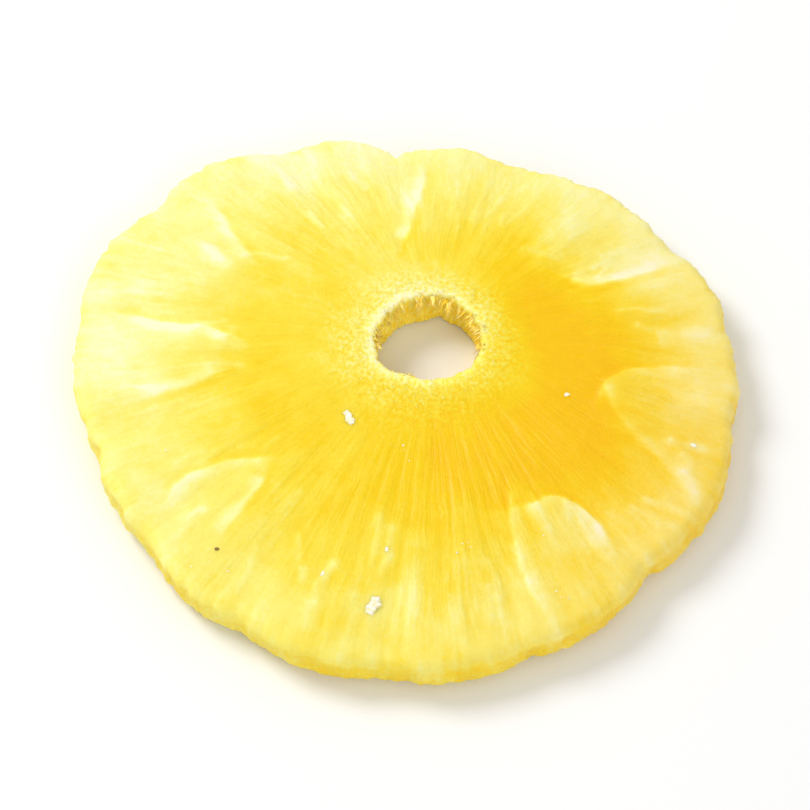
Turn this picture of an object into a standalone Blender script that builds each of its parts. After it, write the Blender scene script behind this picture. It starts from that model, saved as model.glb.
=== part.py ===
"""One candied pineapple ring: a slice across the fruit with its core punched out, sugared and dried.

The ring lies flat on its underside. Its origin is the middle of its bounding box at the underside, +X runs
along its longest side and +Z points up. Units are metres.
"""

import math

import bmesh
import bpy

# The outline is a circle with three slow waves: (order, height, angle of the first crest in degrees).
MEAN_RADIUS = 0.0369
OUTLINE_WAVES = ((1, 0.0009, 105), (2, 0.0017, -19), (3, 0.0015, 23))

# The wedge-shaped fruitlets stand round the core, and each one bulges the rim between two seams:
# (angle of the seam where it begins, in degrees, how far that seam cuts in, how far the fruitlet bulges out).
FRUITLETS = (
    (12, 0.0004, 0.0003),
    (33, 0.0007, 0.0006),
    (66, 0.0001, 0.0006),
    (92, 0.0015, 0.0005),
    (114, 0.0004, 0.0010),
    (138, 0.0007, 0.0005),
    (165, 0.0003, 0.0000),
    (191, 0.0008, 0.0003),
    (213, 0.0000, 0.0008),
    (237, 0.0004, 0.0002),
    (266, 0.0007, 0.0001),
    (292, 0.0002, 0.0007),
    (320, 0.0007, 0.0008),
    (356, 0.0007, -0.0002),
)

# The core hole was punched off centre, and its edge is a little uneven.
HOLE_RADIUS = 0.0060
HOLE_CENTRE = (0.0028, 0.0074)
HOLE_WAVES = ((2, 0.00016, 10), (3, 0.00018, 75), (5, 0.00008, 0))

# Heights of the flesh above the tray that the ring dried on. A reach or a "from" is a share of the way from
# the hole to the rim, and CROWN_MIDDLE is the level between a fruitlet's crown and its seams.
THICKNESS = 0.0056
RIM_THINNING = 0.16
THINNING_POWER = 4
COLLAR_RISE = 0.00025
COLLAR_REACH = 0.14
CROWN_RISE = 0.0005
CROWN_MIDDLE = 0.5
CROWN_FROM = 0.30
RIM_LIFT = 0.0005
LIFT_WAVES = ((2, 0.0002, 70), (3, 0.0002, 200))
LIFT_FROM = 0.70

# The section's rounded corners, and how finely the solid is divided.
HOLE_CORNER = 0.0006
UPPER_RIM_CORNER = 0.0024
LOWER_RIM_CORNER = 0.0016
CORNER_SEGMENTS = 3
STEPS_PER_FRUITLET = 8
TOP_CUTS = 11
UNDERSIDE_CUTS = 4
SAME_HEIGHT = 1e-7


def wave_sum(waves, angle):
    return sum(height * math.cos(order * (angle - math.radians(crest))) for order, height, crest in waves)


def smooth_step(value):
    value = min(max(value, 0.0), 1.0)
    return value * value * (3 - 2 * value)


def fruitlet_at(turn):
    """Finds the fruitlet at a share of a full turn: the true angle, the bulge there and the rim's relief."""
    place = round(turn * len(FRUITLETS) * STEPS_PER_FRUITLET) / STEPS_PER_FRUITLET % len(FRUITLETS)
    index = int(place)
    share = place - index
    start, seam, rise = FRUITLETS[index]
    end, next_seam, _ = FRUITLETS[(index + 1) % len(FRUITLETS)]
    bulge = math.sin(math.pi * share)
    seam_depth = seam + share * (next_seam - seam)
    angle = math.radians(start + share * ((end - start) % 360))
    return angle, bulge, bulge * rise - (1 - bulge) * seam_depth


def underside(reach, angle):
    """Height of the underside: flat on the tray, and curled up a little towards the rim."""
    curl = smooth_step((reach - LIFT_FROM) / (1 - LIFT_FROM))
    return curl * (RIM_LIFT + wave_sum(LIFT_WAVES, angle))


def flesh_height(reach, bulge):
    """Thickness of the flesh: a firm collar round the core, crowned fruitlets and a thinner rim."""
    collar = COLLAR_RISE * math.exp(-((reach / COLLAR_REACH) ** 2))
    crown = smooth_step((reach - CROWN_FROM) / (1 - CROWN_FROM)) * (bulge - CROWN_MIDDLE)
    return THICKNESS * (1 - RIM_THINNING * reach**THINNING_POWER) + collar + CROWN_RISE * crown


def shaped(point):
    """Moves a point of the plain turned ring to its place on the fruit."""
    turn = math.atan2(point.y, point.x) / math.tau % 1
    angle, bulge, relief = fruitlet_at(turn)
    reach = (math.hypot(point.x, point.y) - HOLE_RADIUS) / (MEAN_RADIUS - HOLE_RADIUS)
    level = point.z / THICKNESS
    hole = HOLE_RADIUS + wave_sum(HOLE_WAVES, angle)
    rim = MEAN_RADIUS + wave_sum(OUTLINE_WAVES, angle) + relief
    across = (1 - reach) * hole + reach * rim
    return (
        (1 - reach) * HOLE_CENTRE[0] + across * math.cos(angle),
        (1 - reach) * HOLE_CENTRE[1] + across * math.sin(angle),
        underside(reach, angle) + level * flesh_height(reach, bulge),
    )


def edges_along(mesh, height):
    """The section's straight edges at one height."""
    return [edge for edge in mesh.edges if all(abs(vert.co.z - height) < SAME_HEIGHT for vert in edge.verts)]


def section(mesh):
    """The slab's cross-section at +X: a rectangle with small corners at the hole and large ones at the rim."""
    corners = (
        (HOLE_RADIUS, 0, HOLE_CORNER),
        (MEAN_RADIUS, 0, LOWER_RIM_CORNER),
        (MEAN_RADIUS, THICKNESS, UPPER_RIM_CORNER),
        (HOLE_RADIUS, THICKNESS, HOLE_CORNER),
    )
    verts = [mesh.verts.new((x, 0, z)) for x, z, _ in corners]
    for first, second in zip(verts, verts[1:] + verts[:1]):
        mesh.edges.new((first, second))
    for vert, (_, _, radius) in zip(verts, corners):
        bmesh.ops.bevel(
            mesh,
            geom=[vert],
            offset=radius,
            offset_type="OFFSET",
            segments=CORNER_SEGMENTS,
            profile=0.5,
            affect="VERTICES",
            material=-1,
        )
    for height, cuts in ((THICKNESS, TOP_CUTS), (0, UNDERSIDE_CUTS)):
        bmesh.ops.subdivide_edges(mesh, edges=edges_along(mesh, height), cuts=cuts)


def ring_mesh():
    mesh = bmesh.new()
    section(mesh)
    bmesh.ops.spin(
        mesh,
        geom=list(mesh.verts) + list(mesh.edges),
        cent=(0, 0, 0),
        axis=(0, 0, 1),
        angle=math.tau,
        steps=len(FRUITLETS) * STEPS_PER_FRUITLET,
        use_merge=True,
    )
    bmesh.ops.recalc_face_normals(mesh, faces=mesh.faces)
    for vert in mesh.verts:
        vert.co = shaped(vert.co)
    xs, ys, zs = zip(*(vert.co for vert in mesh.verts))
    middle = ((min(xs) + max(xs)) / 2, (min(ys) + max(ys)) / 2, min(zs))
    bmesh.ops.translate(mesh, verts=mesh.verts, vec=[-value for value in middle])
    data = bpy.data.meshes.new("pineapple_ring")
    mesh.to_mesh(data)
    mesh.free()
    return data


def candied_flesh():
    material = bpy.data.materials.new("candied_flesh")
    material.use_nodes = True
    shader = material.node_tree.nodes["Principled BSDF"]
    shader.inputs["Base Color"].default_value = (0.95, 0.68, 0.05, 1)
    shader.inputs["Roughness"].default_value = 0.4
    shader.inputs["Metallic"].default_value = 0
    return material


def main():
    for obj in list(bpy.data.objects):
        bpy.data.objects.remove(obj)
    collection = bpy.data.collections.new("pineapple_ring")
    bpy.context.scene.collection.children.link(collection)
    ring = bpy.data.objects.new("pineapple_ring", ring_mesh())
    ring.data.materials.append(candied_flesh())
    ring.data.shade_smooth()
    collection.objects.link(ring)


main()
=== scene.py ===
import itertools
import math

import bmesh
import bpy
import numpy as np
from mathutils import Euler, Matrix, Vector


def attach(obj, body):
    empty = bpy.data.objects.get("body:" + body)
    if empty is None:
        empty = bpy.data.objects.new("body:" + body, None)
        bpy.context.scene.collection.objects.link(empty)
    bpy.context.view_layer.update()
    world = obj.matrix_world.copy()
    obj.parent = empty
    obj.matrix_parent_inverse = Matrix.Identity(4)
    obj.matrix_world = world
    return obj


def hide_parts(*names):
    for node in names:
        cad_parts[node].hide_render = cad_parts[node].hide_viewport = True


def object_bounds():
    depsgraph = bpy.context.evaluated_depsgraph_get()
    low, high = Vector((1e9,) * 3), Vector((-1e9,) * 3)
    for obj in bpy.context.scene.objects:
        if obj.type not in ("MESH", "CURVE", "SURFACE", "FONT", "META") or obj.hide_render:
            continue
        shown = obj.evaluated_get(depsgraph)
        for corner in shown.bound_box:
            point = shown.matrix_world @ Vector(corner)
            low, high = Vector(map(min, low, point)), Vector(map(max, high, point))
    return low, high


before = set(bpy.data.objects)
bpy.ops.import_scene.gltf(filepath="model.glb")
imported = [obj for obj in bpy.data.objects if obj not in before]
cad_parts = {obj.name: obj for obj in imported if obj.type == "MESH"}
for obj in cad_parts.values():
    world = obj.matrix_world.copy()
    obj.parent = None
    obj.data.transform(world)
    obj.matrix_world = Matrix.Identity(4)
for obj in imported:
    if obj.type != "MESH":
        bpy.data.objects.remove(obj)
CAD_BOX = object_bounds()

# Sizes are in millimetres and angles in degrees. An angle counts anticlockwise from +X as seen from above. A reach
# is the share of the way from the core hole, 0, to the rim, 1, and a level the share of the way up, 0 to 1.
MM = 0.001

# The solid's outline, core hole and heights.
MEAN_RADIUS = 36.9
OUTLINE_WAVES = ((1, 0.9, 105), (2, 1.7, -19), (3, 1.5, 23))
FRUITLETS = (
    (12, 0.4, 0.3),
    (33, 0.7, 0.6),
    (66, 0.1, 0.6),
    (92, 1.5, 0.5),
    (114, 0.4, 1.0),
    (138, 0.7, 0.5),
    (165, 0.3, 0.0),
    (191, 0.8, 0.3),
    (213, 0.0, 0.8),
    (237, 0.4, 0.2),
    (266, 0.7, 0.1),
    (292, 0.2, 0.7),
    (320, 0.7, 0.8),
    (356, 0.7, -0.2),
)
HOLE_RADIUS = 6.0
HOLE_CENTRE = (2.8, 7.4)
HOLE_WAVES = ((2, 0.16, 10), (3, 0.18, 75), (5, 0.08, 0))
THICKNESS = 5.6
RIM_THINNING = 0.16
COLLAR_RISE = 0.25
COLLAR_REACH = 0.14
CROWN_RISE = 0.5
CROWN_FROM = 0.30
RIM_LIFT = 0.5
LIFT_WAVES = ((2, 0.2, 70), (3, 0.2, 200))
LIFT_FROM = 0.70

# The section that is spun: its corners as (radius, height, rounding, segments), the cuts of its straight sides, the
# steps of a full turn and the cuts of each step.
CORNERS = (
    (HOLE_RADIUS, 0.0, 0.6, 3),
    (MEAN_RADIUS, 0.0, 1.4, 5),
    (MEAN_RADIUS, THICKNESS, 1.2, 6),
    (HOLE_RADIUS, THICKNESS, 0.4, 4),
)
TOP_CUTS = 80
UNDERSIDE_CUTS = 14
HOLE_WALL_CUTS = 10
RIM_WALL_CUTS = 7
TURN_STEPS = 90
STEP_CUTS = 7

# Where the walls between the fruitlets were cut through, their edges dried pale. Each line has its (angle, reach)
# points from the core outwards, the side with the crisp edge (1 towards larger angles, -1 towards smaller, 0 for a
# soft line), how far the other side fades out, how pale it is and how far it stands up.
LINES = (
    (((169.5, 0.48), (166, 0.60), (165, 0.73), (163.5, 0.83), (162.5, 0.93)), -1, 3.0, 0.45, 0.25),
    (((153, 0.60), (155, 0.74), (158, 0.86), (160, 0.95)), 0, 1.2, 0.12, 0.12),
    (((182, 0.53), (183.5, 0.64), (184.3, 0.75), (185, 0.86)), 1, 2.5, 0.38, 0.22),
    (((141, 0.55), (137, 0.68), (134, 0.76), (131.5, 0.86)), -1, 1.2, 0.34, 0.18),
    (((147.5, 0.57), (145, 0.66), (142.5, 0.75)), 0, 1.2, 0.30, 0.10),
    (((97, 0.34), (92, 0.49), (89, 0.62), (87, 0.73), (85.5, 0.86), (84.5, 0.97)), -1, 3.0, 0.40, 0.25),
    (((111, 0.45), (109, 0.60), (108, 0.72)), 0, 1.5, 0.12, 0.05),
    (((45, 0.46), (48, 0.55), (49.5, 0.68), (49, 0.84)), 0, 1.6, 0.34, 0.15),
    (((34, 0.49), (29.5, 0.53), (28.3, 0.62), (28.7, 0.78), (29.5, 0.97)), -1, 2.5, 0.50, 0.30),
    (((10.5, 0.70), (12.5, 0.84), (13, 0.99)), 0, 1.0, 0.30, 0.12),
    (((-13, 0.47), (-9, 0.48), (-4, 0.51), (0, 0.57), (2, 0.66), (3.5, 0.78), (4.5, 0.93)), 1, 3.0, 0.36, 0.20),
    (((-7, 0.49), (-14, 0.54), (-18, 0.63), (-20, 0.73), (-21.5, 0.82), (-24, 0.93)), -1, 2.5, 0.24, 0.12),
    (((-15.5, 0.76), (-14.5, 0.85), (-13, 0.95)), 0, 0.7, 0.40, 0.20),
    (((-17, 0.82), (-19, 0.90)), 0, 0.6, 0.25, 0.12),
    (((-20, 0.85), (-22.5, 0.92), (-27, 0.985)), 0, 0.8, 0.30, 0.12),
    (((-33, 0.90), (-30, 0.98)), 0, 0.8, 0.20, 0.10),
    (
        ((-57, 0.53), (-53, 0.545), (-49, 0.555), (-45, 0.60), (-42.7, 0.67), (-41.8, 0.76), (-42.3, 0.84), (-44.5, 0.92)),
        1, 4.5, 0.50, 0.32,
    ),
    (((-59, 0.46), (-61.5, 0.55), (-63.5, 0.65), (-64, 0.76), (-63.5, 0.86), (-61.5, 0.98)), -1, 1.3, 0.40, 0.20),
    (((-72.5, 0.75), (-73.5, 0.92)), 0, 0.9, 0.18, 0.10),
    (((-80, 0.76), (-81, 0.90)), 0, 0.9, 0.18, 0.10),
    (((-90, 0.56), (-90, 0.75), (-89.5, 0.93)), 0, 1.2, 0.22, 0.12),
    (((-97.5, 0.52), (-97.5, 0.61), (-96, 0.69)), 0, 0.8, 0.26, 0.10),
    (((-109, 0.68), (-110.7, 0.77)), 0, 0.5, 0.38, 0.14),
    (((-116, 0.74), (-114, 0.80)), 0, 0.4, 0.24, 0.08),
    (((-111, 0.83), (-109.5, 0.95)), 0, 0.8, 0.22, 0.10),
    (((215, 0.52), (210, 0.61), (207.3, 0.69), (206.8, 0.77), (208.3, 0.85), (210.5, 0.93)), -1, 1.6, 0.34, 0.18),
    (((220.5, 0.56), (222, 0.64), (223, 0.71), (224, 0.78), (225, 0.85)), 1, 2.2, 0.34, 0.20),
)
CRISP_WIDTH = 0.28
FINE_LINES = 70

# Paler patches and deeper, more syrupy ones, a few of them partly painted shade: (angle, reach, radius, how much
# paler).
PATCHES = (
    (172, 0.86, 5.0, 0.12),
    (214, 0.88, 5.0, 0.10),
    # The three deepest, right of the hole, are partly the flesh's own deeper golden and partly painted shade on the
    # side away from the key lamp.
    (35, 0.30, 6.0, -0.42),
    (2, 0.38, 6.5, -0.40),
    (-26, 0.46, 7.0, -0.36),
    (-33, 0.66, 5.0, -0.12),
    (60, 0.52, 5.0, -0.12),
    (-82, 0.30, 6.0, -0.13),
    (-60, 0.42, 6.0, -0.16),
    (-15, 0.85, 7.0, -0.12),
    (110, 0.88, 7.0, 0.10),
    (30, 0.88, 5.0, 0.06),
    (-50, 0.88, 3.5, -0.12),
    (-57, 0.60, 2.0, -0.12),
    (300, 0.10, 6.0, -0.08),
    (28, 0.08, 1.8, 0.18),
    (-47, 0.72, 5.0, 0.13),
    (40, 0.95, 7.0, 0.12),
    (12, 0.68, 5.0, -0.12),
    (50, 0.64, 3.5, -0.10),
    (220, 0.64, 4.0, -0.08),
    (253, 0.90, 5.0, -0.12),
    (282, 0.40, 7.0, 0.06),
    (262, 0.80, 1.9, 0.16),
    (227, 0.22, 1.6, 0.14),
)

LATTICE = np.random.default_rng(5).permutation(256)
SLOPES = np.random.default_rng(6).normal(size=(256, 3))
SLOPES /= np.linalg.norm(SLOPES, axis=1)[:, None]


def noise(points, seed):
    """Smooth noise of about -1 to 1 at each row of points, with features about one unit across."""
    points = points + 31.7 * seed
    cell = np.floor(points).astype(int)
    inside = points - cell
    weight = inside**3 * (inside * (inside * 6 - 15) + 10)
    total = np.zeros(len(points))
    for corner in itertools.product((0, 1), repeat=3):
        x, y, z = ((cell + corner) % 256).T
        slope = SLOPES[LATTICE[(LATTICE[(LATTICE[x] + y) % 256] + z) % 256]]
        share = np.prod(np.where(corner, weight, 1 - weight), axis=1)
        total += share * ((inside - corner) * slope).sum(1)
    return 1.5 * total


def smooth_step(value):
    value = np.clip(value, 0.0, 1.0)
    return value * value * (3 - 2 * value)


def turned(angle, middle):
    """How far each angle lies from a middle one, from -180 to 180."""
    return (angle - middle + 180) % 360 - 180


def bell(value, width):
    return np.exp(-((value / width) ** 2))


def wave_sum(waves, angle):
    return sum(height * np.cos(np.radians(order * (angle - crest))) for order, height, crest in waves)


def fruitlet_at(angle):
    """The bulge of the fruitlet at each angle, from 0 at its seams to 1 at its crown, and the rim's relief."""
    starts, seams, rises = np.array(FRUITLETS, float).T
    index = (np.searchsorted(starts, angle % 360, side="right") - 1) % len(FRUITLETS)
    after = (index + 1) % len(FRUITLETS)
    share = ((angle - starts[index]) % 360) / ((starts[after] - starts[index]) % 360)
    bulge = np.sin(np.pi * share)
    return bulge, bulge * rises[index] - (1 - bulge) * (seams[index] + share * (seams[after] - seams[index]))


def spoke_at(angle):
    turn = np.radians(angle)
    return np.stack([np.cos(turn), np.sin(turn)], axis=-1)


def plan_at(angle, reach):
    """Place of each (angle, reach) in the plan, before the ring is centred."""
    hole = HOLE_RADIUS + wave_sum(HOLE_WAVES, angle)
    rim = MEAN_RADIUS + wave_sum(OUTLINE_WAVES, angle) + fruitlet_at(angle)[1]
    across = (1 - reach) * hole + reach * rim
    return (1 - reach)[:, None] * HOLE_CENTRE + across[:, None] * spoke_at(angle)


OUTLINE = plan_at(np.arange(0.0, 360.0, 0.5), np.ones(720))
MIDDLE = (OUTLINE.min(0) + OUTLINE.max(0)) / 2


def rounded(points):
    """A line with its corners cut off twice, so that it bends softly."""
    for _ in range(2):
        near = 0.75 * points[:-1] + 0.25 * points[1:]
        far = 0.25 * points[:-1] + 0.75 * points[1:]
        points = np.vstack([points[:1], np.stack([near, far], axis=1).reshape(-1, 2), points[-1:]])
    return points


def from_line(plan, line):
    """Each point's distance from a line, positive on the line's left, and its share of the way along the line."""
    start, step = line[:-1], np.diff(line, axis=0)
    length = np.hypot(*step.T)
    offset = plan[:, None] - start
    along = np.clip((offset * step).sum(2) / length**2, 0, 1)
    gap = np.linalg.norm(offset - along[..., None] * step, axis=2)
    rows, nearest = np.arange(len(plan)), gap.argmin(1)
    offset, step = offset[rows, nearest], step[nearest]
    side = np.sign(step[:, 0] * offset[:, 1] - step[:, 1] * offset[:, 0])
    walked = np.append(0, np.cumsum(length))
    return side * gap[rows, nearest], (walked[nearest] + along[rows, nearest] * length[nearest]) / walked[-1]


def fine_lines():
    """Short faint lines between the named ones, where single fibres dried pale."""
    draw = np.random.default_rng(24)
    lines = []
    for angle in draw.uniform(0, 360, FINE_LINES):
        start, length, lean = draw.uniform(0.42, 0.82), draw.uniform(0.08, 0.24), draw.normal(0, 1.5)
        points = ((angle, start), (angle + lean, start + length / 2), (angle + 1.4 * lean, start + length))
        lines.append((points, 0, draw.uniform(0.25, 0.55), draw.uniform(0.08, 0.22), draw.uniform(0.04, 0.10)))
    return tuple(lines)


def line_fields(plan):
    """Height and paleness that the cut walls' edges add at each point of the plan."""
    height, pale = np.zeros(len(plan)), np.zeros(len(plan))
    flat = np.column_stack([plan, np.zeros(len(plan))])
    shift = 0.30 * noise(flat / 3.0, 11) + 0.12 * noise(flat / 0.9, 12)
    strength = 0.85 + 0.45 * noise(flat / 2.2, 13)
    for points, crisp, fade, line_pale, lift in LINES + fine_lines():
        angles, reaches = np.array(points, float).T
        line = rounded(plan_at(angles, reaches))
        margin = 3 * fade
        near = np.all((plan > line.min(0) - margin) & (plan < line.max(0) + margin), axis=1)
        distance, share = from_line(plan[near], line)
        distance = distance + shift[near]
        ends = (0.4 + 0.6 * smooth_step(share / 0.05) + 0.35 * bell(share - 0.07, 0.06))
        ends *= 1 - 0.9 * smooth_step((share - 0.6) / 0.4)
        if crisp:
            flap = -crisp * distance
            edge = smooth_step(flap / CRISP_WIDTH + 0.5)
            body = edge * (0.50 * np.exp(-np.abs(flap) / fade) + 0.52 * bell(flap - 0.50, 0.80))
            body += (1 - edge) * bell(flap, 0.25) * 0.3
            trough = (1 - edge) * bell(flap + 0.7, 0.6)
            height[near] += 0.7 * lift * ends * (edge * np.exp(-np.abs(flap) / (1.5 * fade)) - 0.35 * trough)
            # The trough beside a crisp edge is sunk and also painted a deeper golden: painted shade in the groove.
            pale[near] += line_pale * strength[near] * ends * body - 0.25 * line_pale * ends * trough
        else:
            body = bell(distance, fade)
            height[near] += lift * ends * body
            pale[near] += line_pale * strength[near] * ends * body
    return height, pale


def flesh_at(angle, reach, level):
    """The ring's surface at each angle, reach and level: places in millimetres and what its material reads."""
    bulge = fruitlet_at(angle)[0]
    spoke = spoke_at(angle)
    plan = plan_at(angle, reach)
    curl = smooth_step((reach - LIFT_FROM) / (1 - LIFT_FROM)) * (RIM_LIFT + wave_sum(LIFT_WAVES, angle))
    collar = COLLAR_RISE * bell(reach, COLLAR_REACH)
    crown = CROWN_RISE * smooth_step((reach - CROWN_FROM) / (1 - CROWN_FROM)) * (bulge - 0.5)
    thickness = THICKNESS * (1 - RIM_THINNING * reach**4) + collar + crown
    base = np.column_stack([plan - MIDDLE, curl + level * thickness])

    upper = smooth_step((level - 0.45) / 0.5)
    lower = smooth_step((0.5 - level) / 0.5)
    line_height, line_pale = line_fields(plan)
    spokes = np.column_stack([spoke, reach])
    outer = smooth_step((reach - 0.08) / 0.3)
    core = bell(reach - 0.06, 0.11)
    swell = noise(base / 8.0, 1)
    ripples = noise(spokes * (11, 11, 3), 2)
    fibres = noise(spokes * (34, 34, 5), 3)
    dimples = noise(base / 1.6, 4)
    grain = noise(base / 0.7, 5)
    relief = line_height + 0.20 * swell + outer * (0.12 * ripples + 0.07 * fibres) + 0.05 * dimples + 0.07 * core * grain
    below = 0.15 + outer * (0.08 * ripples + 0.06 * fibres) + 0.06 * dimples + 0.5 * np.maximum(line_height, 0)
    height = upper * relief + lower * below

    rim_share = smooth_step((reach - 0.90) / 0.10)
    hole_share = smooth_step((0.07 - reach) / 0.07)
    tall = base[:, 2]
    pleats = noise(np.column_stack([spoke * 13, tall / 6.0]), 6)
    wrinkles = 0.6 - 2 * np.abs(noise(np.column_stack([spoke * 22, tall / 5.0]), 16))
    ridges = noise(np.column_stack([spoke * 42, tall / 3.0]), 10)
    lumps = noise(base / 2.0, 7)
    pits = noise(base / 0.8, 14)
    nibbles = noise(np.column_stack([spoke * 3.2, tall / 4.0]), 17)
    torn = noise(np.column_stack([spoke * 7, tall / 2.5]), 8)
    shreds = noise(np.column_stack([spoke * 18, tall / 1.5]), 9)
    outward = rim_share * (0.32 * pleats + 0.20 * wrinkles + 0.12 * ridges + 0.24 * lumps + 0.10 * pits)
    outward += hole_share * (0.34 * nibbles + 0.24 * torn + 0.18 * shreds)
    height += upper * bell(reach - 0.012, 0.02) * (0.12 + 0.22 * torn + 0.16 * shreds)
    place = base + np.column_stack([outward[:, None] * spoke, height])
    place[:, 2] = np.maximum(place[:, 2], 0)

    # far makes the flesh paler towards the far side, where the key lamp shines from: painted light.
    far = np.cos(np.radians(angle - 110))
    wall = rim_share * (1 - smooth_step((level - 0.62) / 0.30))
    # The paleness that grows towards the rim is partly drier flesh and partly painted glow of light through the thin
    # rim.
    pale = 0.44 + 0.20 * bell(reach, 0.13) + 0.36 * smooth_step((reach - 0.40) / 0.55) + 0.13 * far
    pale += (upper + 0.6 * lower) * line_pale + 0.09 * swell + 0.04 * ripples + 0.02 * fibres - 0.06 * bell(reach - 0.30, 0.12)
    pale += rim_share * (0.10 * ridges + 0.12 * pleats + 0.08 * lumps) - 0.22 * wall
    for patch_angle, patch_reach, radius, amount in PATCHES:
        middle = plan_at(np.array([patch_angle]), np.array([patch_reach]))
        pale += amount * bell(np.linalg.norm(plan - middle, axis=1), radius)
    lip = smooth_step((level - 0.80) / 0.18)
    hole_edge = bell(reach - 0.014, 0.020) * (0.27 + 0.20 * torn + 0.08 * np.cos(np.radians(angle - 200)))
    # Below the lip the hole's wall is painted a deeper golden: painted shade inside the hole.
    pale += lip * hole_edge - (1 - lip) * hole_share * (0.24 - 0.25 * shreds)
    # Towards the right, away from the key lamp, the flesh is marked for a warmer, darker tint: painted shade.
    shade_side_tint = bell(turned(angle, 345), 55) * smooth_step((reach - 0.15) / 0.75)
    return place, pale, core + 0.45 * wall, spokes, shade_side_tint


def srgb(code):
    """A linear colour from an sRGB hex value."""
    channels = [int(code[start : start + 2], 16) / 255 for start in (1, 3, 5)]
    return [c / 12.92 if c <= 0.04045 else ((c + 0.055) / 1.055) ** 2.4 for c in channels] + [1.0]


def add(tree, kind, settings=(), links=()):
    """Adds a node. Settings are its properties or socket values, and links feed its sockets from other nodes."""
    made = tree.nodes.new(kind)
    for name, value in dict(settings).items():
        if isinstance(name, str) and hasattr(made, name):
            setattr(made, name, value)
        else:
            made.inputs[name].default_value = value
    for name, source in dict(links).items():
        tree.links.new(source, made.inputs[name])
    return made


def finished(name, mesh, material):
    """A piece made of a bmesh: it rides the ring's body and carries one material."""
    data = bpy.data.meshes.new(name)
    mesh.to_mesh(data)
    mesh.free()
    made = bpy.data.objects.new(name, data)
    bpy.context.scene.collection.objects.link(made)
    data.materials.append(material)
    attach(made, "root")
    return made


def spun_section():
    """The plain turned slab before it is shaped."""
    mesh = bmesh.new()
    verts = [mesh.verts.new((x, 0, z)) for x, z, _, _ in CORNERS]
    for first, second in zip(verts, verts[1:] + verts[:1]):
        mesh.edges.new((first, second))
    for vert, (_, _, radius, segments) in zip(verts, CORNERS):
        bmesh.ops.bevel(
            mesh,
            geom=[vert],
            offset=radius,
            offset_type="OFFSET",
            segments=segments,
            profile=0.5,
            affect="VERTICES",
            material=-1,
        )
    straight = (
        (2, THICKNESS, TOP_CUTS),
        (2, 0.0, UNDERSIDE_CUTS),
        (0, HOLE_RADIUS, HOLE_WALL_CUTS),
        (0, MEAN_RADIUS, RIM_WALL_CUTS),
    )
    for axis, value, cuts in straight:
        side = [e for e in mesh.edges if all(abs(v.co[axis] - value) < 1e-5 for v in e.verts)]
        bmesh.ops.subdivide_edges(mesh, edges=side, cuts=cuts)
    bmesh.ops.spin(
        mesh,
        geom=list(mesh.verts) + list(mesh.edges),
        cent=(0, 0, 0),
        axis=(0, 0, 1),
        angle=math.tau,
        steps=TURN_STEPS,
        use_merge=True,
    )
    level = [e for e in mesh.edges if abs(e.verts[0].co.z - e.verts[1].co.z) < 1e-5]
    round_edges = [e for e in level if abs(e.verts[0].co.xy.length - e.verts[1].co.xy.length) < 1e-4]
    bmesh.ops.subdivide_edges(mesh, edges=round_edges, cuts=STEP_CUTS, use_grid_fill=True)
    bmesh.ops.recalc_face_normals(mesh, faces=mesh.faces)
    return mesh


def attribute(data, name, values):
    made = data.attributes.new(name, "FLOAT_VECTOR" if values.ndim == 2 else "FLOAT", "POINT")
    made.data.foreach_set("vector" if values.ndim == 2 else "value", values.astype(np.float32).ravel())


def ring_flesh():
    """The ring itself, from the plain slab to the fruit's own surface."""
    ring = finished("ring_flesh", spun_section(), flesh_material())
    data = ring.data
    plain = np.zeros(len(data.vertices) * 3, np.float32)
    data.vertices.foreach_get("co", plain)
    x, y, z = plain.reshape(-1, 3).astype(float).T
    angle = np.degrees(np.arctan2(y, x)) % 360
    reach = (np.hypot(x, y) - HOLE_RADIUS) / (MEAN_RADIUS - HOLE_RADIUS)
    place, pale, core, spokes, shade_side_tint = flesh_at(angle, reach, z / THICKNESS)
    data.vertices.foreach_set("co", (place * MM).astype(np.float32).ravel())
    data.update()
    data.shade_smooth()
    attribute(data, "paleness", pale)
    attribute(data, "core", core)
    attribute(data, "spokes", spokes)
    attribute(data, "painted_shade_side", shade_side_tint)
    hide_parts("pineapple_ring")
    return ring


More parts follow.
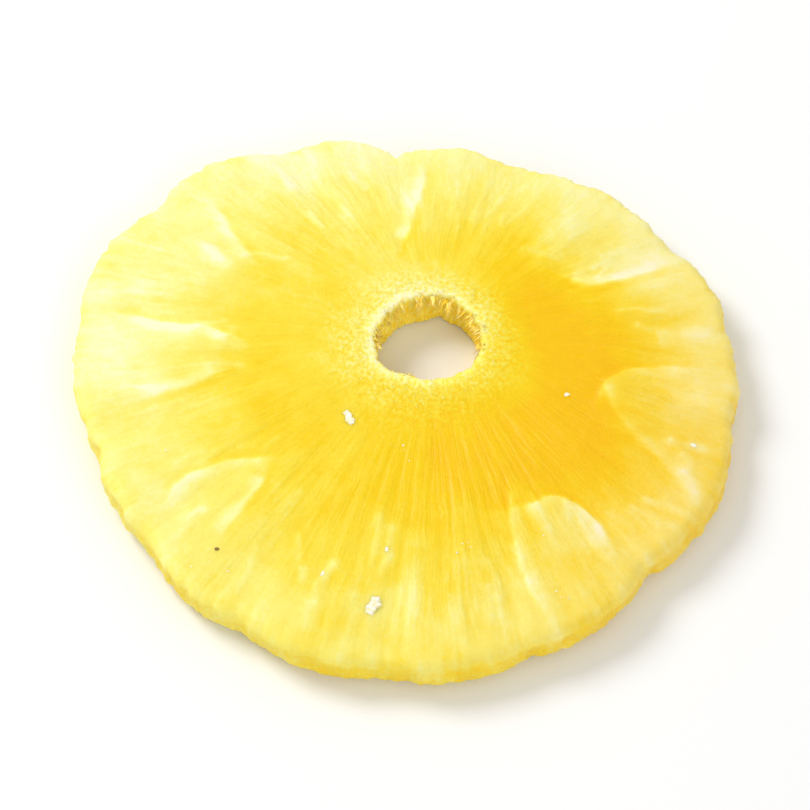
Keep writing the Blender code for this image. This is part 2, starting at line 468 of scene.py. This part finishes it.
def flesh_material():
    """Candied pineapple flesh, boiled in syrup and dried: translucent yellow, with a satin skin of dried syrup,
    fine fibres that run out from the core, and paler, drier flesh along the cut walls and at the rim, where the
    paleness is partly painted glow of light through the thin edge."""
    material = bpy.data.materials.new("candied_pineapple_flesh")
    material.use_nodes = True
    tree = material.node_tree
    shader = tree.nodes["Principled BSDF"]
    place = add(tree, "ShaderNodeTexCoord").outputs["Object"]
    spokes = add(tree, "ShaderNodeAttribute", {"attribute_name": "spokes"}).outputs["Vector"]
    pale = add(tree, "ShaderNodeAttribute", {"attribute_name": "paleness"}).outputs["Fac"]
    core = add(tree, "ShaderNodeAttribute", {"attribute_name": "core"}).outputs["Fac"]
    shade_side_tint = add(tree, "ShaderNodeAttribute", {"attribute_name": "painted_shade_side"}).outputs["Fac"]

    def scaled(vector, factors):
        return add(tree, "ShaderNodeVectorMath", {"operation": "MULTIPLY", 1: factors}, {0: vector}).outputs[0]

    def blend(value, factor, offset):
        """Value times factor plus offset, where the last two are numbers or sockets."""
        made = add(tree, "ShaderNodeMath", {"operation": "MULTIPLY_ADD"}, {0: value})
        for index, term in ((1, factor), (2, offset)):
            if isinstance(term, (int, float)):
                made.inputs[index].default_value = term
            else:
                tree.links.new(term, made.inputs[index])
        return made.outputs[0]

    # The fibres wander by about half a millimetre.
    wander = add(tree, "ShaderNodeTexNoise", {"Scale": 1 / (5 * MM), "Detail": 1.0}, {"Vector": place})
    drift = scaled(wander.outputs["Color"], (0.03, 0.03, 0.0))
    strands = add(tree, "ShaderNodeVectorMath", {"operation": "ADD"}, {0: spokes, 1: drift}).outputs[0]

    # Near the core the fibres run together, so they show less there.
    reach = add(tree, "ShaderNodeSeparateXYZ", {}, {"Vector": spokes}).outputs["Z"]
    spread = add(tree, "ShaderNodeMath", {"operation": "MULTIPLY_ADD", "use_clamp": True, 1: 2.2, 2: 0.05}, {0: reach})
    spread = spread.outputs[0]

    # Bundles are about 0.9 mm apart halfway out, and single fibres about 0.35 mm.
    bundles = add(tree, "ShaderNodeTexNoise", {"Scale": 1.0, "Detail": 2.0}, {"Vector": scaled(strands, (26, 26, 4))})
    fibres = add(tree, "ShaderNodeTexNoise", {"Scale": 1.0, "Detail": 2.0}, {"Vector": scaled(strands, (70, 70, 9))})
    clouds = add(tree, "ShaderNodeTexNoise", {"Scale": 1 / (4 * MM), "Detail": 3.0}, {"Vector": place})
    frost = add(tree, "ShaderNodeTexNoise", {"Scale": 1 / (0.45 * MM), "Detail": 1.0}, {"Vector": place})
    shows = add(tree, "ShaderNodeTexNoise", {"Scale": 1 / (9 * MM), "Detail": 1.0}, {"Vector": place})
    specks = add(tree, "ShaderNodeTexNoise", {"Scale": 1 / (0.5 * MM), "Detail": 2.0}, {"Vector": place})
    grit = add(tree, "ShaderNodeTexNoise", {"Scale": 1 / (0.22 * MM), "Detail": 2.0}, {"Vector": place})

    tint = blend(bundles.outputs["Fac"], 0.24, -0.12)
    tint = blend(fibres.outputs["Fac"], 0.20, blend(tint, 1.0, -0.10))
    tint = blend(blend(tint, blend(shows.outputs["Fac"], 3.2, -0.9), 0.0), spread, 0.0)
    tint = blend(clouds.outputs["Fac"], 0.44, blend(tint, 1.0, -0.22))
    tint = blend(blend(frost.outputs["Fac"], 1.1, -0.50), core, tint)
    tint = blend(specks.outputs["Fac"], 0.16, blend(tint, 1.0, -0.08))
    tint = blend(tint, 1.0, pale)

    ramp = add(tree, "ShaderNodeValToRGB", {}, {"Fac": blend(tint, 0.88, 0.0)})
    stops = (
        (0.0, "#fac600"),
        (0.22, "#fad309"),
        (0.44, "#fae03c"),
        (0.66, "#fbee74"),
        (0.82, "#fbf69c"),
        (1.0, "#fffaca"),
    )
    elements = ramp.color_ramp.elements
    for position, code in stops[1:-1]:
        elements.new(position)
    for element, (position, code) in zip(elements, stops):
        element.position = position
        element.color = srgb(code)
    # The side away from the key lamp is tinted warmer and darker: painted shade.
    warm = add(tree, "ShaderNodeMix", {"data_type": "RGBA", "blend_type": "MULTIPLY"})
    warm.inputs["B"].default_value = srgb("#fff0ff")
    tree.links.new(shade_side_tint, warm.inputs["Factor"])
    tree.links.new(ramp.outputs["Color"], warm.inputs["A"])
    tree.links.new(warm.outputs["Result"], shader.inputs["Base Color"])

    rough = blend(tint, 0.20, 0.30)
    tree.links.new(blend(grit.outputs["Fac"], 0.15, rough), shader.inputs["Roughness"])

    coarse = blend(bundles.outputs["Fac"], spread, 0.0)
    bump = add(tree, "ShaderNodeBump", {"Distance": 0.15 * MM}, {"Height": coarse})
    fine = blend(fibres.outputs["Fac"], spread, 0.0)
    bump = add(tree, "ShaderNodeBump", {"Distance": 0.09 * MM}, {"Height": fine, "Normal": bump.outputs[0]})
    grains = blend(frost.outputs["Fac"], core, 0.0)
    bump = add(tree, "ShaderNodeBump", {"Distance": 0.20 * MM}, {"Height": grains, "Normal": bump.outputs[0]})
    bump = add(tree, "ShaderNodeBump", {"Distance": 0.06 * MM}, {"Height": specks.outputs["Fac"], "Normal": bump.outputs[0]})
    bump = add(tree, "ShaderNodeBump", {"Distance": 0.03 * MM}, {"Height": grit.outputs["Fac"], "Normal": bump.outputs[0]})
    tree.links.new(bump.outputs[0], shader.inputs["Normal"])

    shader.subsurface_method = "BURLEY"
    shader.inputs["Subsurface Weight"].default_value = 0.8
    shader.inputs["Subsurface Radius"].default_value = (1.0, 0.9, 0.25)
    shader.inputs["Subsurface Scale"].default_value = 2.0 * MM
    shader.inputs["IOR"].default_value = 1.45
    shader.inputs["Specular IOR Level"].default_value = 0.3
    shader.inputs["Coat Weight"].default_value = 0.05
    shader.inputs["Coat Roughness"].default_value = 0.2
    return material


# What dried on the upper face: the large sugar crystals as (angle, reach, length, width, turn), and the brown speck.
CRYSTALS = (
    (262, 0.80, 2.5, 1.4, 60),
    (227, 0.22, 2.8, 0.9, -65),
    (343.5, 0.36, 0.7, 0.5, 20),
    (249, 0.735, 0.8, 0.4, 70),
    (262.5, 0.61, 0.8, 0.4, 85),
    (346, 0.86, 0.9, 0.5, -15),
)
SPECK = (225.5, 0.84)


def on_top(angle, reach):
    """The places on the upper face at each angle and reach."""
    return flesh_at(np.asarray(angle, float), np.asarray(reach, float), np.ones(len(angle)))[0]


def sugar_material():
    """Sugar that came out of the syrup: white, glassy and flat-faced, so that single faces glint."""
    material = bpy.data.materials.new("crystal_sugar")
    material.use_nodes = True
    tree = material.node_tree
    shader = tree.nodes["Principled BSDF"]
    place = add(tree, "ShaderNodeTexCoord").outputs["Object"]
    veins = add(tree, "ShaderNodeTexNoise", {"Scale": 1 / (0.4 * MM), "Detail": 2.0}, {"Vector": place})
    ramp = add(tree, "ShaderNodeValToRGB", {}, {"Fac": veins.outputs["Fac"]})
    for element, (position, code) in zip(ramp.color_ramp.elements, ((0.35, "#fff2ae"), (0.6, "#fffdf0"))):
        element.position = position
        element.color = srgb(code)
    tree.links.new(ramp.outputs["Color"], shader.inputs["Base Color"])
    bump = add(tree, "ShaderNodeBump", {"Distance": 0.03 * MM}, {"Height": veins.outputs["Fac"]})
    tree.links.new(bump.outputs[0], shader.inputs["Normal"])
    shader.inputs["Roughness"].default_value = 0.15
    shader.inputs["IOR"].default_value = 1.54
    return material


def frost_material():
    """Dried syrup and cut core fibre: pale cream and matt."""
    material = bpy.data.materials.new("dried_core_fibre")
    material.use_nodes = True
    tree = material.node_tree
    shader = tree.nodes["Principled BSDF"]
    place = add(tree, "ShaderNodeTexCoord").outputs["Object"]
    mottle = add(tree, "ShaderNodeTexNoise", {"Scale": 1 / (0.8 * MM), "Detail": 2.0}, {"Vector": place})
    ramp = add(tree, "ShaderNodeValToRGB", {}, {"Fac": mottle.outputs["Fac"]})
    for element, (position, code) in zip(ramp.color_ramp.elements, ((0.3, "#ffe25c"), (0.65, "#fff4ae"))):
        element.position = position
        element.color = srgb(code)
    tree.links.new(ramp.outputs["Color"], shader.inputs["Base Color"])
    bump = add(tree, "ShaderNodeBump", {"Distance": 0.02 * MM}, {"Height": mottle.outputs["Fac"]})
    tree.links.new(bump.outputs[0], shader.inputs["Normal"])
    shader.inputs["Roughness"].default_value = 0.5
    return material


def fibre_material():
    """Torn core fibre, soaked in syrup: golden and translucent, mottled with paler patches."""
    material = bpy.data.materials.new("torn_core_fibre")
    material.use_nodes = True
    tree = material.node_tree
    shader = tree.nodes["Principled BSDF"]
    place = add(tree, "ShaderNodeTexCoord").outputs["Object"]
    mottle = add(tree, "ShaderNodeTexNoise", {"Scale": 1 / (0.8 * MM), "Detail": 2.0}, {"Vector": place})
    ramp = add(tree, "ShaderNodeValToRGB", {}, {"Fac": mottle.outputs["Fac"]})
    for element, (position, code) in zip(ramp.color_ramp.elements, ((0.35, "#ffe03c"), (0.65, "#fff4a4"))):
        element.position = position
        element.color = srgb(code)
    tree.links.new(ramp.outputs["Color"], shader.inputs["Base Color"])
    shader.inputs["Roughness"].default_value = 0.4
    shader.subsurface_method = "BURLEY"
    shader.inputs["Subsurface Weight"].default_value = 0.8
    shader.inputs["Subsurface Radius"].default_value = (1.0, 1.0, 0.3)
    shader.inputs["Subsurface Scale"].default_value = 1.0 * MM
    return material


def speck_material():
    """A crumb of rind left in an eye of the fruit: dull brown."""
    material = bpy.data.materials.new("pineapple_rind")
    material.use_nodes = True
    tree = material.node_tree
    shader = tree.nodes["Principled BSDF"]
    place = add(tree, "ShaderNodeTexCoord").outputs["Object"]
    mottle = add(tree, "ShaderNodeTexNoise", {"Scale": 1 / (0.15 * MM), "Detail": 2.0}, {"Vector": place})
    ramp = add(tree, "ShaderNodeValToRGB", {}, {"Fac": mottle.outputs["Fac"]})
    for element, (position, code) in zip(ramp.color_ramp.elements, ((0.3, "#6a4c1a"), (0.7, "#a58440"))):
        element.position = position
        element.color = srgb(code)
    tree.links.new(ramp.outputs["Color"], shader.inputs["Base Color"])
    shader.inputs["Roughness"].default_value = 0.6
    return material


def block(mesh, place, sides, tilt, chamfer):
    """A cut block of sugar, with its sides in millimetres and its place at its middle."""
    turn = Matrix.Translation(Vector(place) * MM) @ Euler(tilt).to_matrix().to_4x4()
    made = bmesh.ops.create_cube(mesh, size=MM, matrix=turn @ Matrix.Diagonal((*sides, 1)))
    if chamfer:
        edges = {edge for vert in made["verts"] for edge in vert.link_edges}
        bmesh.ops.bevel(
            mesh,
            geom=list(edges),
            offset=chamfer * MM,
            offset_type="OFFSET",
            segments=1,
            profile=0.5,
            affect="EDGES",
            material=-1,
        )


def sugar_crystals():
    """The large crystals, each grown together from a few blocks, and fine ones scattered over the face."""
    draw = np.random.default_rng(21)
    mesh = bmesh.new()
    for angle, reach, length, width, turn in CRYSTALS:
        middle = on_top([angle], [reach])[0]
        heading = math.radians(turn)
        along = np.array([math.cos(heading), math.sin(heading), 0])
        across = np.array([-along[1], along[0], 0])
        for _ in range(9):
            spot = middle + length * draw.uniform(-0.28, 0.28) * along + width * draw.uniform(-0.15, 0.15) * across
            sides = (length * draw.uniform(0.25, 0.5), width * draw.uniform(0.45, 0.85), width * draw.uniform(0.15, 0.35))
            tilt = (*draw.normal(0, 0.15, 2), heading + draw.normal(0, 0.3))
            block(mesh, spot - (0, 0, 0.1 * sides[2]), sides, tilt, 0.2 * min(sides))
    groups = on_top(draw.uniform(180, 350, 9), np.clip(draw.normal(0.7, 0.2, 9), 0.2, 0.93))
    for middle in groups:
        for _ in range(draw.integers(1, 5)):
            spot = middle + (*draw.normal(0, 0.7, 2), 0)
            sides = draw.uniform(0.12, 0.30) * draw.uniform((0.7, 0.6, 0.3), (1.0, 0.9, 0.4))
            block(mesh, spot, sides, (*draw.normal(0, 0.2, 2), draw.uniform(0, math.pi)), 0.2 * min(sides))
    return finished("sugar_crystals", mesh, sugar_material())


def core_frost():
    """Crumbs of dried syrup round the core, thickest next to the hole and on the far left."""
    draw = np.random.default_rng(22)
    mesh = bmesh.new()
    count = 420
    angles = np.degrees(draw.vonmises(math.radians(165), 0.5, count)) % 360
    reaches = np.abs(draw.normal(0, 0.06, count)) + 0.012
    for spot in on_top(angles, reaches):
        size = draw.uniform(0.10, 0.28)
        spot[2] -= 0.32 * size
        turn = Euler(draw.uniform(0, math.pi, 3)).to_matrix().to_4x4()
        squash = Matrix.Diagonal((*draw.uniform(0.6, 1.2, 3), 1))
        matrix = Matrix.Translation(Vector(spot) * MM) @ turn @ squash
        bmesh.ops.create_icosphere(mesh, subdivisions=1, radius=size / 2 * MM, matrix=matrix)
    return finished("core_frost", mesh, frost_material())


def straight_strand():
    """A thin cone of length 1 and root radius 1, cut across so that it can bend."""
    mesh = bmesh.new()
    lift = Matrix.Translation((0, 0, 0.5))
    bmesh.ops.create_cone(mesh, cap_ends=True, segments=5, radius1=1, radius2=0.35, depth=1, matrix=lift)
    upright = [e for e in mesh.edges if e.verts[0].co.z != e.verts[1].co.z]
    bmesh.ops.subdivide_edges(mesh, edges=upright, cuts=5, use_grid_fill=True)
    data = bpy.data.meshes.new("strand")
    mesh.to_mesh(data)
    mesh.free()
    return data


def add_strand(mesh, straight, root, direction, length, radius, bend, sway):
    """A flat torn shred that leaves its root in one direction, bends away from it and sways once to the side."""
    mesh.from_mesh(straight)
    mesh.verts.ensure_lookup_table()
    aside = direction.cross(Vector((0, 0, 1))).normalized()
    above = aside.cross(direction)
    for vert in mesh.verts[-len(straight.vertices) :]:
        x, y, share = vert.co
        path = root + length * (share * direction + share**2 * bend + sway * math.sin(5 * share) * aside)
        vert.co = (path + radius * (x * aside + 0.5 * y * above)) * MM


def core_fibres():
    """Core fibres that the punch tore instead of cutting: they fringe the hole, mostly at its far and right side."""
    draw = np.random.default_rng(23)
    straight = straight_strand()
    mesh = bmesh.new()
    count = 110
    angles = np.degrees(draw.vonmises(math.radians(80), 0.9, count)) % 360
    roots = flesh_at(angles, draw.uniform(0.0, 0.015, count), draw.uniform(0.75, 1.0, count))[0]
    for angle, root in zip(angles, roots):
        heading, rise = angle + 180 + draw.normal(0, 14), draw.uniform(-78, -30)
        for _ in range(draw.integers(2, 6)):
            turn, lift = np.radians((heading + draw.normal(0, 8), rise + draw.normal(0, 8)))
            direction = Vector((math.cos(turn) * math.cos(lift), math.sin(turn) * math.cos(lift), math.sin(lift)))
            bend = Vector((*draw.normal(0, 0.15, 2), -draw.uniform(0, 0.4)))
            start = Vector(root + draw.normal(0, 0.16, 3)) - 0.15 * direction
            length, radius = draw.uniform(0.4, 1.7), draw.uniform(0.07, 0.16)
            add_strand(mesh, straight, start, direction, length, radius, bend, draw.normal(0, 0.06))
    bpy.data.meshes.remove(straight)
    bmesh.ops.recalc_face_normals(mesh, faces=mesh.faces)
    fibres = finished("core_fibres", mesh, fibre_material())
    fibres.data.shade_smooth()
    return fibres


def rind_speck():
    mesh = bmesh.new()
    spot = on_top([SPECK[0]], [SPECK[1]])[0]
    squash = Matrix.Diagonal((0.28, 0.22, 0.10, 1))
    bmesh.ops.create_icosphere(mesh, subdivisions=3, radius=MM, matrix=squash)
    for vert in mesh.verts:
        vert.co += vert.co * float(noise(np.array([vert.co]) / (0.15 * MM), 15)[0]) * 0.25
        vert.co += Vector(spot) * MM
    speck = finished("rind_speck", mesh, speck_material())
    speck.data.shade_smooth()
    return speck


def floor():
    mesh = bmesh.new()
    bmesh.ops.create_grid(mesh, x_segments=1, y_segments=1, size=3.0)
    bmesh.ops.translate(mesh, verts=mesh.verts, vec=(0, 0, -0.05 * MM))
    data = bpy.data.meshes.new("floor")
    mesh.to_mesh(data)
    mesh.free()
    made = bpy.data.objects.new("floor", data)
    bpy.context.scene.collection.objects.link(made)
    material = bpy.data.materials.new("white_paper_board")
    material.use_nodes = True
    shader = material.node_tree.nodes["Principled BSDF"]
    shader.inputs["Base Color"].default_value = srgb("#fdfdfc")
    shader.inputs["Roughness"].default_value = 0.8
    shader.inputs["Specular IOR Level"].default_value = 0.2
    data.materials.append(material)


def lamp(name, place, size, power):
    data = bpy.data.lights.new(name, "AREA")
    data.shape = "DISK"
    data.size = size
    data.energy = power
    made = bpy.data.objects.new(name, data)
    made.location = place
    made.rotation_euler = (-Vector(place)).to_track_quat("-Z", "Y").to_euler()
    bpy.context.scene.collection.objects.link(made)


def studio():
    scene = bpy.context.scene
    scene.view_settings.view_transform = "Standard"
    world = bpy.data.worlds.new("studio")
    world.use_nodes = True
    world.node_tree.nodes["Background"].inputs["Color"].default_value = srgb("#ffffff")
    world.node_tree.nodes["Background"].inputs["Strength"].default_value = 0.56
    scene.world = world
    lamp("key", (-0.36, 0.25, 0.45), 0.30, 2.15)
    lamp("fill", (0.25, -0.45, 0.40), 0.4, 0.85)


def camera():
    lens, elevation, share = 200, 58, 0.82
    low, high = CAD_BOX
    data = bpy.data.cameras.new("camera")
    data.lens = lens
    distance = (high.x - low.x) / share / (data.sensor_width / lens)
    back = Vector((0, -math.cos(math.radians(elevation)), math.sin(math.radians(elevation))))
    made = bpy.data.objects.new("camera", data)
    made.location = (low + high) / 2 + back * distance
    made.rotation_euler = back.to_track_quat("Z", "Y").to_euler()
    bpy.context.scene.collection.objects.link(made)
    bpy.context.scene.camera = made


camera()
studio()
floor()
ring_flesh()
sugar_crystals()
core_frost()
core_fibres()
rind_speck()
